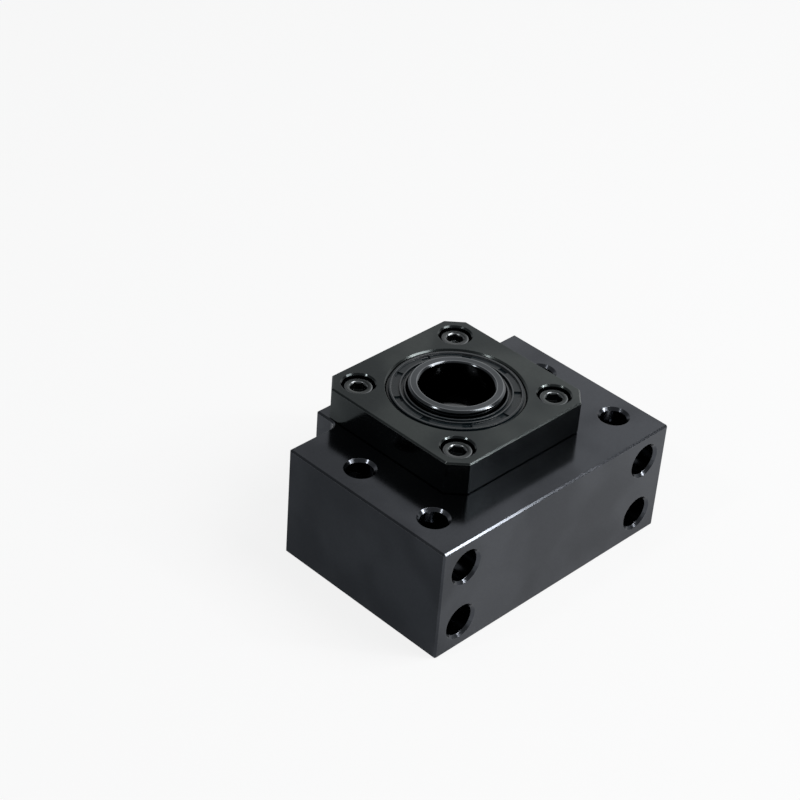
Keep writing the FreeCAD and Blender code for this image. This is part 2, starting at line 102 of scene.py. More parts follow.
# Shader building


@dataclass(frozen=True)
class Pattern:
    """Noise pattern: features per metre, octaves and weight of the finer octaves."""

    scale: float
    octaves: float
    weight: float


class Shader:
    """Node tree of one material or world, with short ways to add and join nodes."""

    mix_inputs: ClassVar[tuple[int, ...]] = (0, 6, 7)
    mix_output: ClassVar[int] = 2
    measures: ClassVar[tuple[str, ...]] = ("DOT_PRODUCT", "DISTANCE", "LENGTH")
    ring_core: ClassVar[float] = 0.4

    def __init__(self, tree: bpy.types.NodeTree) -> None:
        """Start from an empty tree.

        Args:
            tree: Node tree to fill.
        """
        self.tree = tree
        tree.nodes.clear()

    def node(self, kind: str, **settings: object) -> bpy.types.Node:
        """Add a node and set its properties.

        Args:
            kind: Node type without the ShaderNode prefix.
            settings: Property values by name.

        Returns:
            The new node.
        """
        made = self.tree.nodes.new("ShaderNode" + kind)
        for name, value in settings.items():
            setattr(made, name, value)
        return made

    def put(self, value: Input, socket: Socket) -> None:
        """Give one input a value or a link.

        Args:
            value: Number, numbers, colour or output socket.
            socket: Input that takes it.
        """
        if isinstance(value, Socket):
            self.tree.links.new(value, socket)
        elif socket.type == "RGBA":
            socket.default_value = (*value, 1.0)
        else:
            socket.default_value = value

    def feed(self, node: bpy.types.Node, *ordered: Input, **named: Input) -> bpy.types.Node:
        """Give a node's inputs values or links.

        Args:
            node: Node whose inputs are set.
            ordered: Values for its first inputs.
            named: Values for others, named as the input with _ for each space.

        Returns:
            The same node.
        """
        for value, socket in zip(ordered, node.inputs):
            self.put(value, socket)
        for name, value in named.items():
            self.put(value, node.inputs[name.replace("_", " ")])
        return node

    def number(self, operation: str, *values: Input) -> Socket:
        """Output of a new Math node."""
        return self.feed(self.node("Math", operation=operation), *values).outputs[0]

    def vector(self, operation: str, *values: Input, **named: Input) -> Socket:
        """Output of a new Vector Math node.

        Args:
            operation: Name of the operation.
            values: Values for its first inputs.
            named: Values for its other inputs.

        Returns:
            The number that it measures, or else its vector.
        """
        made = self.feed(self.node("VectorMath", operation=operation), *values, **named)
        return made.outputs["Value" if operation in self.measures else "Vector"]

    def remap(self, value: Input, source: Span, target: Span) -> Socket:
        """Map a value smoothly from one range to another, clamped at both ends.

        Args:
            value: Socket to map.
            source: Range that is read.
            target: Results at its two ends.

        Returns:
            The mapped value.
        """
        made = self.node("MapRange", interpolation_type="SMOOTHSTEP")
        self.feed(made, Value=value, From_Min=source[0], From_Max=source[1])
        self.feed(made, To_Min=target[0], To_Max=target[1])
        return made.outputs["Result"]

    def mix(self, amount: Input, first: Input, second: Input) -> Socket:
        """Mix two colours.

        Args:
            amount: Share of the second colour.
            first: Colour or socket.
            second: Colour or socket.

        Returns:
            The mixed colour.
        """
        made = self.node("Mix", data_type="RGBA")
        for index, value in zip(self.mix_inputs, (amount, first, second)):
            self.put(value, made.inputs[index])
        return made.outputs[self.mix_output]

    def blend(self, amount: Input, first: Socket, second: Socket) -> Socket:
        """Mix two shaders by the share of the second."""
        return self.feed(self.node("MixShader"), amount, first, second).outputs[0]

    def noise(self, place: Input, pattern: Pattern) -> Socket:
        """Add a noise texture.

        Args:
            place: Socket with the place that is looked up.
            pattern: Its scale and octaves.

        Returns:
            Its value, about 0 to 1.
        """
        made = self.feed(self.node("TexNoise"), Vector=place, Scale=pattern.scale)
        self.feed(made, Detail=pattern.octaves, Roughness=pattern.weight)
        return made.outputs["Fac"]

    def radius(self, place: Input, across: float = 0.0) -> Socket:
        """Distance from the shaft axis, or from the nearest of four axes about it.

        Args:
            place: Socket with the place that is looked up.
            across: Distance of the four axes from the middle planes, 0 for the shaft axis.

        Returns:
            The distance.
        """
        moved = self.vector("SUBTRACT", self.vector("ABSOLUTE", place), (across, across, 0.0))
        return self.vector("LENGTH", self.vector("MULTIPLY", moved, (1.0, 1.0, 0.0)))

    def rings(self, radius: Input, lines: Sequence[float], half_width: float) -> Input:
        """Thin rings about an axis.

        Args:
            radius: Socket with the distance from the axis.
            lines: Radii of the rings.
            half_width: Distance from a ring's middle at which it has faded away.

        Returns:
            1 on the rings and 0 away from them.
        """
        total: Input = 0.0
        for line in lines:
            off = self.number("ABSOLUTE", self.number("SUBTRACT", radius, line))
            ring = self.remap(off, (half_width * self.ring_core, half_width), FADE_OUT)
            total = self.number("ADD", total, ring)
        return total

    def bump(self, height: Input, depth: float, normal: Optional[Socket]) -> Socket:
        """Add a bump.

        Args:
            height: Height of about 0 to 1.
            depth: Depth that 1 stands for.
            normal: Normal that it bends, or none for the surface's own.

        Returns:
            The bent normal.
        """
        made = self.feed(self.node("Bump"), Strength=1.0, Distance=depth, Height=height)
        if normal is not None:
            self.feed(made, Normal=normal)
        return made.outputs["Normal"]

    def surface(self, normal: Optional[Socket], **inputs: Input) -> None:
        """Add the surface shader and the material's output.

        Args:
            normal: Bent normal, or none for the surface's own.
            inputs: Other values of the surface shader.
        """
        made = self.feed(self.node("BsdfPrincipled"), **inputs)
        if normal is not None:
            self.feed(made, Normal=normal)
        self.feed(self.node("OutputMaterial"), Surface=made.outputs["BSDF"])


def new_material(name: str) -> tuple[bpy.types.Material, Shader]:
    """Make an empty node material.

    Args:
        name: Name of the material.

    Returns:
        The material and its shader.
    """
    material = bpy.data.materials.new(name)
    material.use_nodes = True
    return material, Shader(material.node_tree)


# Finishes


@dataclass(frozen=True)
class Steel:
    """Machined steel, from a blackened block to a bright ball.

    Its colour drifts between two tones in soft clouds and has fine specks. It may have tool marks,
    rounded edges painted lighter partly as wear and partly as painted highlight, painted shade in
    its bore and painted highlight rings at turned edges.
    """

    name: str
    colour: Colour
    drift: Colour
    rough: float
    rough_spread: float = 0.05

    # Tool marks
    grain: Grain = Grain.ALONG_X
    grain_depth: float = 0.0
    milled_marks: Pattern = Pattern(4200.0, 3.0, 0.6)
    milled_stretch: float = 0.012
    turned_marks: Pattern = Pattern(5200.0, 2.0, 0.6)
    turned_stretch: float = 0.4 * MM

    # Clouds and specks in the colour
    clouds: Pattern = Pattern(40.0, 2.0, 0.45)
    cloud_place: Place = (0.0, 0.0, 0.0)
    cloud_span: Span = (0.38, 0.62)
    specks: Pattern = Pattern(900.0, 3.0, 0.6)
    speck_spread: float = 0.24

    # Rounded edges, painted lighter partly as wear and partly as painted highlight; this follows
    # the turn between plain and rounded normal
    edge_radius: float = 0.0
    edge_samples: int = 6
    wear_and_sheen: float = 0.0
    wear_and_sheen_colour: Colour = (0.34, 0.34, 0.35)
    worn_turn: Span = (0.995, 0.9)
    worn_specks: Span = (0.35, 0.7)
    worn_least: float = 0.4

    # Painted shade in the bore, darker than the rest
    painted_shade_bore_radius: float = 0.0
    bore_fade: float = 0.2 * MM
    painted_bore_shade: float = 0.1

    # Painted highlight rings, thin and bright, about the shaft axis or about four axes beside it
    painted_highlight_rings: tuple[float, ...] = ()
    ring_axes: float = 0.0
    ring_half_width: float = 0.22 * MM
    highlight_ring_colour: Colour = (0.5, 0.52, 0.54)
    ring_strength: float = 0.3

    def material(self) -> bpy.types.Material:
        """Build the finish.

        Returns:
            The material.
        """
        material, sh = new_material(self.name)
        place = sh.node("TexCoord").outputs["Object"]
        clouds = sh.noise(sh.vector("ADD", place, self.cloud_place), self.clouds)
        specks = sh.noise(place, self.specks)
        marks = self.marks(sh, place)
        colour = self.tint(sh, place, clouds, specks)

        low = self.rough - self.rough_spread
        rough = sh.number("ADD", low, sh.number("MULTIPLY", clouds, self.rough_spread))
        rough = sh.number("ADD", rough, sh.number("MULTIPLY", marks, self.rough_spread))

        normal: Optional[Socket] = None
        if self.edge_radius:
            edge = sh.feed(sh.node("Bevel", samples=self.edge_samples), Radius=self.edge_radius)
            normal = edge.outputs["Normal"]
            # Edges painted lighter: partly wear, partly painted highlight.
            if self.wear_and_sheen:
                colour = self.wear_and_sheen_edges(sh, colour, specks, normal)
        if self.grain_depth:
            normal = sh.bump(marks, self.grain_depth, normal)
        sh.surface(normal, Base_Color=colour, Metallic=1.0, Roughness=rough)
        return material

    def tint(self, sh: Shader, place: Socket, clouds: Socket, specks: Socket) -> Socket:
        """Colour with its clouds and specks, painted shade in the bore and painted highlight rings.

        Args:
            sh: Shader to add to.
            place: Place on the surface.
            clouds: Soft noise.
            specks: Fine noise.

        Returns:
            The colour.
        """
        colour = sh.mix(sh.remap(clouds, self.cloud_span, FADE_IN), self.colour, self.drift)
        level = sh.number("MULTIPLY_ADD", specks, self.speck_spread, 1.0 - self.speck_spread / 2)
        # Painted shade: darker inside the bore.
        if self.painted_shade_bore_radius:
            fade = (self.painted_shade_bore_radius, self.painted_shade_bore_radius + self.bore_fade)
            shade = sh.remap(sh.radius(place), fade, (self.painted_bore_shade, 1.0))
            level = sh.number("MULTIPLY", level, shade)
        colour = sh.vector("SCALE", colour, Scale=level)
        # Painted highlight rings at turned edges.
        if self.painted_highlight_rings:
            radius = sh.radius(place, self.ring_axes)
            lines = sh.rings(radius, self.painted_highlight_rings, self.ring_half_width)
            share = sh.number("MULTIPLY", lines, self.ring_strength)
            colour = sh.mix(share, colour, self.highlight_ring_colour)
        return colour

    def wear_and_sheen_edges(self, sh: Shader, colour: Socket, specks: Socket, normal: Socket) -> Socket:
        """Colour with its edges painted lighter, partly as wear and partly as painted highlight.

        Args:
            sh: Shader to add to.
            colour: Colour away from the edges.
            specks: Fine noise that breaks up the wear.
            normal: Normal with rounded edges.

        Returns:
            The colour.
        """
        turn = sh.vector("DOT_PRODUCT", sh.node("NewGeometry").outputs["Normal"], normal)
        share = sh.remap(turn, self.worn_turn, (0.0, self.wear_and_sheen))
        broken = sh.remap(specks, self.worn_specks, (self.worn_least, 1.0))
        return sh.mix(sh.number("MULTIPLY", share, broken), colour, self.wear_and_sheen_colour)

    def marks(self, sh: Shader, place: Socket) -> Socket:
        """Fine tool marks.

        Args:
            sh: Shader to add to.
            place: Place on the surface.

        Returns:
            Their height of about 0 to 1.
        """
        if self.grain is Grain.ROUND_AXIS:
            x, y, z = sh.feed(sh.node("SeparateXYZ"), place).outputs
            turn = sh.number("MULTIPLY", sh.number("ARCTAN2", y, x), self.turned_stretch)
            rolled = sh.feed(sh.node("CombineXYZ"), sh.radius(place), z, turn)
            return sh.noise(rolled.outputs[0], self.turned_marks)
        if self.grain is Grain.ALONG_X:
            place = sh.vector("MULTIPLY", place, (self.milled_stretch, 1.0, 1.0))
        return sh.noise(place, self.milled_marks)


@dataclass(frozen=True)
class Moulded:
    """Moulded rubber or plastic with a faint mould grain and painted highlight rings on its ridges.
    """

    name: str
    colour: Colour
    drift: Colour
    rough: float
    specular: float
    rough_clouds: Span = (0.3, 0.7)
    rough_change: Span = (-0.05, 0.06)

    # Clouds in the colour, and the grain of the mould
    clouds: Pattern = Pattern(160.0, 4.0, 0.6)
    cloud_span: Span = (0.35, 0.65)
    grain: Pattern = Pattern(2600.0, 3.0, 0.6)
    grain_depth: float = 0.01 * MM

    # Painted highlight rings on the ridges, about the shaft axis
    painted_highlight_rings: tuple[float, ...] = ()
    ring_half_width: float = 0.3 * MM
    highlight_ring_colour: Colour = (0.10, 0.105, 0.11)
    ring_strength: float = 0.4

    def material(self) -> bpy.types.Material:
        """Build the finish.

        Returns:
            The material.
        """
        material, sh = new_material(self.name)
        place = sh.node("TexCoord").outputs["Object"]
        clouds = sh.noise(place, self.clouds)
        colour = sh.mix(sh.remap(clouds, self.cloud_span, FADE_IN), self.colour, self.drift)
        # Painted highlight rings on the ridges.
        if self.painted_highlight_rings:
            lines = sh.rings(sh.radius(place), self.painted_highlight_rings, self.ring_half_width)
            share = sh.number("MULTIPLY", lines, self.ring_strength)
            colour = sh.mix(share, colour, self.highlight_ring_colour)
        smoother, rougher = self.rough_change
        span = (self.rough + smoother, self.rough + rougher)
        rough = sh.remap(clouds, self.rough_clouds, span)
        normal = sh.bump(sh.noise(place, self.grain), self.grain_depth, None)
        sh.surface(normal, Base_Color=colour, Metallic=0.0, Roughness=rough,
                   Specular_IOR_Level=self.specular)
        return material


# Housing and cover: edges painted lighter, partly as wear and partly as painted highlight.
BLOCK_STEEL = Steel(
    "housing_steel_look", (0.054, 0.058, 0.066), (0.073, 0.078, 0.088),
    rough=0.16, grain_depth=0.0008 * MM, wear_and_sheen=0.35, edge_radius=0.16 * MM,
    cloud_place=(0.119, 0.351, -0.366))
COVER_STEEL = Steel(
    "cover_steel_look", (0.040, 0.046, 0.047), (0.062, 0.070, 0.069),
    rough=0.16, grain_depth=0.0008 * MM, wear_and_sheen=0.35, edge_radius=0.14 * MM,
    cloud_place=(0.378, 0.993, -0.677))
# Painted highlight rings at the heads' edges and the sockets' mouths.
SCREW_STEEL = Steel(
    "screw_steel_look", (0.085, 0.090, 0.092), (0.065, 0.072, 0.072),
    rough=0.24, rough_spread=0.08, grain=Grain.NONE, grain_depth=0.002 * MM,
    painted_highlight_rings=(4.45 * MM, 2.95 * MM), ring_axes=22.6 * MM)
# Painted highlight rings at the collars' edges and painted shade in their bore.
COLLAR_STEEL = Steel(
    "collar_steel_look", (0.095, 0.102, 0.110), (0.075, 0.082, 0.088),
    rough=0.15, grain=Grain.ROUND_AXIS, grain_depth=0.0012 * MM,
    painted_highlight_rings=(13.2 * MM, 15.25 * MM), painted_shade_bore_radius=12.55 * MM)
# Painted shade in the bearing rings' bore.
RING_STEEL = Steel(
    "bearing_steel_look", (0.38, 0.385, 0.39), (0.42, 0.42, 0.42),
    rough=0.16, grain=Grain.ROUND_AXIS, grain_depth=0.0006 * MM, painted_shade_bore_radius=12.55 * MM)
BALL_STEEL = Steel(
    "ball_steel_look", (0.66, 0.66, 0.67), (0.69, 0.69, 0.69),
    rough=0.06, rough_spread=0.02, grain=Grain.NONE)
SPRING_STEEL = Steel(
    "spring_steel_look", (0.46, 0.46, 0.47), (0.52, 0.52, 0.52),
    rough=0.25, rough_spread=0.08, grain=Grain.NONE, grain_depth=0.001 * MM)
# Painted highlight rings on the seal's ridges and rim.
SEAL_RUBBER = Moulded(
    "seal_rubber_look", (0.0020, 0.0058, 0.0082), (0.0030, 0.0072, 0.0098),
    rough=0.28, specular=0.45, painted_highlight_rings=(16.95 * MM, 18.5 * MM, 21.5 * MM))
CAGE_NYLON = Moulded(
    "cage_nylon_look", (0.11, 0.108, 0.10), (0.14, 0.137, 0.127),
    rough=0.42, specular=0.5, grain=Pattern(1500.0, 3.0, 0.6), grain_depth=0.02 * MM)


# Mesh building


CORNER_STEPS = 3
LONGEST_CUT = 0.45
NEARLY_STRAIGHT = math.radians(86)
FACE_WEIGHT = 100


def clamp(value: float) -> float:
    """Value cut to the range from 0 to 1."""
    return min(1.0, max(0.0, value))


def on_circle(radius: float, turn: float, height: float = 0.0) -> Vector:
    """Place at a radius, angle and height about Z."""
    return Vector((radius * math.cos(turn), radius * math.sin(turn), height))


def rounded(outline: Sequence[Point], radius: float) -> list[Point]:
    """Round the corners of a closed outline.

    Args:
        outline: Corners in order.
        radius: Radius wanted, cut down where a side is short.

    Returns:
        The rounded outline.
    """
    made: list[Point] = []
    for index, corner in enumerate(outline):
        here = Vector(corner)
        before = Vector(outline[index - 1]) - here
        after = Vector(outline[(index + 1) % len(outline)]) - here
        half = before.angle(after) / 2
        if half > NEARLY_STRAIGHT:
            made.append(corner)
            continue
        longest = LONGEST_CUT * min(before.length, after.length)
        reach = min(radius / math.tan(half), longest)
        start, end = here + before.normalized() * reach, here + after.normalized() * reach
        for step in range(CORNER_STEPS + 1):
            t = step / CORNER_STEPS
            point = start * (1 - t) ** 2 + here * (2 * t * (1 - t)) + end * t ** 2
            made.append((point.x, point.y))
    return made


def closed_mesh(name: str, points: Sequence[Vector], faces: Sequence[Face]) -> bpy.types.Mesh:
    """Mesh of one or more closed skins.

    Args:
        name: Name of the mesh.
        points: Its points.
        faces: Its faces.

    Returns:
        The mesh, with its faces turned outwards.
    """
    mesh = bpy.data.meshes.new(name)
    mesh.from_pydata(points, [], faces)
    work = bmesh.new()
    work.from_mesh(mesh)
    bmesh.ops.recalc_face_normals(work, faces=work.faces)
    if work.calc_volume(signed=True) < 0:
        bmesh.ops.reverse_faces(work, faces=work.faces)
    work.to_mesh(mesh)
    work.free()
    return mesh


def faces_between(here: int, after: int, columns: int) -> list[Face]:
    """Faces between two closed rows of points.

    Args:
        here: First point of one row.
        after: First point of the other row.
        columns: Points in each row.

    Returns:
        One face for each column.
    """
    faces: list[Face] = []
    for column in range(columns):
        beside = (column + 1) % columns
        faces.append((here + column, here + beside, after + beside, after + column))
    return faces


def closed_grid(name: str, rows: int, columns: int,
                place: Callable[[int, int], Vector]) -> bpy.types.Mesh:
    """Mesh of a grid that closes in both directions, such as a ring.

    Args:
        name: Name of the mesh.
        rows: Rows of points.
        columns: Points in each row.
        place: Place of a point by row and column.

    Returns:
        The mesh, with its faces turned outwards.
    """
    points = [place(row, column) for row in range(rows) for column in range(columns)]
    faces: list[Face] = []
    for row in range(rows):
        faces += faces_between(row * columns, (row + 1) % rows * columns, columns)
    return closed_mesh(name, points, faces)


def smooth_piece(mesh: bpy.types.Mesh, sharp_degrees: float) -> bpy.types.Object:
    """Put a finished mesh into the scene, smooth but for its sharp edges.

    Args:
        mesh: The mesh, whose name the piece takes.
        sharp_degrees: Angle from which an edge stays sharp.

    Returns:
        The new piece.
    """
    mesh.validate()
    mesh.shade_smooth()
    mesh.set_sharp_from_angle(angle=math.radians(sharp_degrees))
    piece = bpy.data.objects.new(mesh.name, mesh)
    bpy.context.scene.collection.objects.link(piece)
    flat = piece.modifiers.new("flat_faces_stay_flat", "WEIGHTED_NORMAL")
    flat.mode = "FACE_AREA"
    flat.weight = FACE_WEIGHT
    flat.keep_sharp = True
    return piece


def settle(piece: bpy.types.Object, finish: bpy.types.Material, body: Body,
           node: str) -> None:
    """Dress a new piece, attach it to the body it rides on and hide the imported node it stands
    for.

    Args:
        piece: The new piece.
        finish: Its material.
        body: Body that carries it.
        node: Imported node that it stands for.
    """
    piece.data.materials.append(finish)
    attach(piece, body.value)
    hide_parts(node)
    LOG.info("%s: %d faces", piece.name, len(piece.data.polygons))


def dress(nodes: Nodes, names: Iterable[str], finish: bpy.types.Material) -> None:
    """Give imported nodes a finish.

    Args:
        nodes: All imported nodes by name.
        names: Nodes that are dressed.
        finish: Their material.
    """
    for name in names:
        for material_slot in nodes[name].material_slots:
            material_slot.material = finish
        LOG.info("%s: dressed", name)


# The object's pieces


@dataclass
class Block:
    """Housing block and its cover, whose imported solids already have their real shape."""

    housing_finish: Steel = BLOCK_STEEL
    cover_finish: Steel = COVER_STEEL

    def dress(self, nodes: Nodes) -> None:
        """Give both pieces their blackened steel."""
        dress(nodes, ["housing"], self.housing_finish.material())
        dress(nodes, ["bearing_cover"], self.cover_finish.material())


@dataclass
class BearingPair:
    """Two angular contact ball bearings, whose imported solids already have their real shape."""

    balls: int = 12
    ring_finish: Steel = RING_STEEL
    cage_finish: Moulded = CAGE_NYLON
    ball_finish: Steel = BALL_STEEL

    def dress(self, nodes: Nodes) -> None:
        """Give rings, cages and balls their finishes.

        Args:
            nodes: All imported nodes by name.
        """
        ends = [side.value for side in Side]
        rings = ["%s_bearing_%s_ring" % (end, ring) for end in ends for ring in ("outer", "inner")]
        cages = ["%s_cage" % end for end in ends]
        balls = ["%s_ball_%02d" % (end, ball + 1) for end in ends for ball in range(self.balls)]
        dress(nodes, rings, self.ring_finish.material())
        dress(nodes, cages, self.cage_finish.material())
        dress(nodes, balls, self.ball_finish.material())


@dataclass
class CoverScrews:
    """Four socket head cap screws with thread, knurled head and hexagon socket."""

    # Where the screws stand, and how far each is turned in degrees
    line: float = 22.6 * MM
    seat: float = 46.8 * MM
    turns: dict[tuple[int, int], float] = field(default_factory=lambda: {
        (-1, -1): 9.0, (1, -1): 19.0, (1, 1): 42.0, (-1, 1): 15.0})
    columns: int = 144
    sharp_degrees: float = 30.0

    # Head with its rounded edge and knurled side
    head_radius: float = 5.0 * MM
    head_height: float = 6.0 * MM
    head_edge: float = 0.6 * MM
    edge_steps: int = 4
    seat_edge: float = 0.25 * MM
    knurl_ridges: int = 36
    knurl_depth: float = 0.09 * MM
    knurl_drop: float = 0.1 * MM
    knurl_foot: float = 0.5 * MM

    # Hexagon socket with its lead-in and drilled floor
    socket_flat: float = 2.5 * MM
    socket_depth: float = 3.0 * MM
    socket_lead: float = 0.25 * MM
    soft_edge: float = 0.03 * MM
    lead_drop: float = 0.04 * MM
    cone_rim: float = 0.86
    cone_drop: float = 0.02 * MM
    cone_depth: float = 0.5 * MM

    # Shank and thread
    neck: float = 0.3 * MM
    neck_rows: int = 3
    length: float = 16.0 * MM
    thread_radius: float = 3.0 * MM
    thread_pitch: float = 1.0 * MM
    thread_depth: float = 0.55 * MM
    rows_per_pitch: int = 8
    flank_slope: float = 2.6
    crest_width: float = 0.15
    plain_shank: float = 2.0 * MM
    run_out: float = 1.0 * MM
    end_chamfer: float = 0.8 * MM

    def build(self, finish: bpy.types.Material) -> bpy.types.Object:
        """Make all four screws as one piece.

        Args:
            finish: Their material.

        Returns:
            The piece.
        """
        angles = [FULL_TURN * column / self.columns for column in range(self.columns)]
        skins = [[*self.socket(a), *self.head(a), *self.thread(a)] for a in angles]
        points: list[Vector] = []
        faces: list[Face] = []
        for (side, level), degrees in self.turns.items():
            seat = Vector((side * self.line, level * self.line, self.seat))
            turn = math.radians(degrees)
            first = len(points)
            for row in range(len(skins[0])):
                if row:
                    faces += faces_between(len(points) - self.columns, len(points), self.columns)
                for angle, skin in zip(angles, skins):
                    radius, height = skin[row]
                    points.append(seat + on_circle(radius, angle + turn, height))
            last = len(points) - self.columns
            bottom = self.head_height - self.socket_depth - self.cone_depth
            self.add_end(points, faces, first, seat + Vector((0, 0, bottom)))
            self.add_end(points, faces, last, seat + Vector((0, 0, -self.length)))
        mesh = closed_mesh("cover_screws_detailed", points, faces)
        piece = smooth_piece(mesh, self.sharp_degrees)
        settle(piece, finish, Body.HOUSING, "cover_screws")
        return piece

    def add_end(self, points: list[Vector], faces: list[Face], row: int, middle: Vector) -> None:
        """Close one end of a screw's skin with a fan of faces.

        Args:
            points: Points so far.
            faces: Faces so far.
            row: First point of the skin's last row.
            middle: Middle of the end.
        """
        centre = len(points)
        points.append(middle)
        for column in range(self.columns):
            faces.append((row + column, row + (column + 1) % self.columns, centre))

    def socket(self, angle: float) -> list[Point]:
        """Section of the hexagon socket, from its floor up to its mouth.

        Args:
            angle: Angle from the hexagon's first corner.

        Returns:
            Radii and heights.
        """
        top, soft = self.head_height, self.soft_edge
        floor = top - self.socket_depth
        wall = self.socket_flat / math.cos(angle % (math.pi / 3) - math.pi / 6)
        mouth = self.socket_flat / math.cos(math.pi / 6) + self.socket_lead
        lead = top - (mouth - wall)
        return [
            (wall * self.cone_rim, floor - self.cone_drop),
            (wall - soft, floor),
            (wall, floor + soft),
            (wall, lead - self.lead_drop),
            (wall + soft, lead + soft),
            (mouth - soft, top - soft),
            (mouth + soft, top),
        ]

    def head(self, angle: float) -> list[Point]:
        """Section of the head, from its top over the knurled side to its seat.

        Args:
            angle: Angle from the hexagon's first corner.

        Returns:
            Radii and heights.
        """
        top, edge, radius = self.head_height, self.head_edge, self.head_radius
        section: list[Point] = []
        for step in range(self.edge_steps):
            bend = step * math.pi / (2 * self.edge_steps)
            across, up = edge * math.sin(bend), edge * math.cos(bend)
            section.append((radius - edge + across, top - edge + up))
        valley = 0.5 - 0.5 * math.cos(self.knurl_ridges * angle)
        side = radius - self.knurl_depth * valley
        section += [(side, top - edge - self.knurl_drop), (side, self.knurl_foot)]
        section += [(radius - self.seat_edge, 0.0), (self.thread_radius + self.neck, 0.0)]
        return section

    def thread(self, angle: float) -> list[Point]:
        """Section of the shank, a short fillet and then a helical thread with a chamfered end.

        Args:
            angle: Angle from the hexagon's first corner.

        Returns:
            Radii and heights.
        """
        rows = int(self.length / (self.thread_pitch / self.rows_per_pitch))
        section = [(self.thread_radius, -self.neck)]
        for row in range(rows + 1):
            height = -self.length * (row + self.neck_rows) / (rows + self.neck_rows)
            section.append((self.thread_skin(angle, height), height))
        return section

    def thread_skin(self, angle: float, height: float) -> float:
        """Radius of the shank's skin.

        Args:
            angle: Angle from the hexagon's first corner.
            height: Height above the head's seat.

        Returns:
            The radius.
        """
        phase = (height / self.thread_pitch - angle / FULL_TURN) % 1.0
        groove = clamp(self.flank_slope * abs(phase - 0.5) - self.crest_width)
        started = clamp((-height - self.plain_shank) / self.run_out)
        chamfer = max(0.0, self.end_chamfer - (self.length + height))
        return self.thread_radius - max(self.thread_depth * groove * started, chamfer)


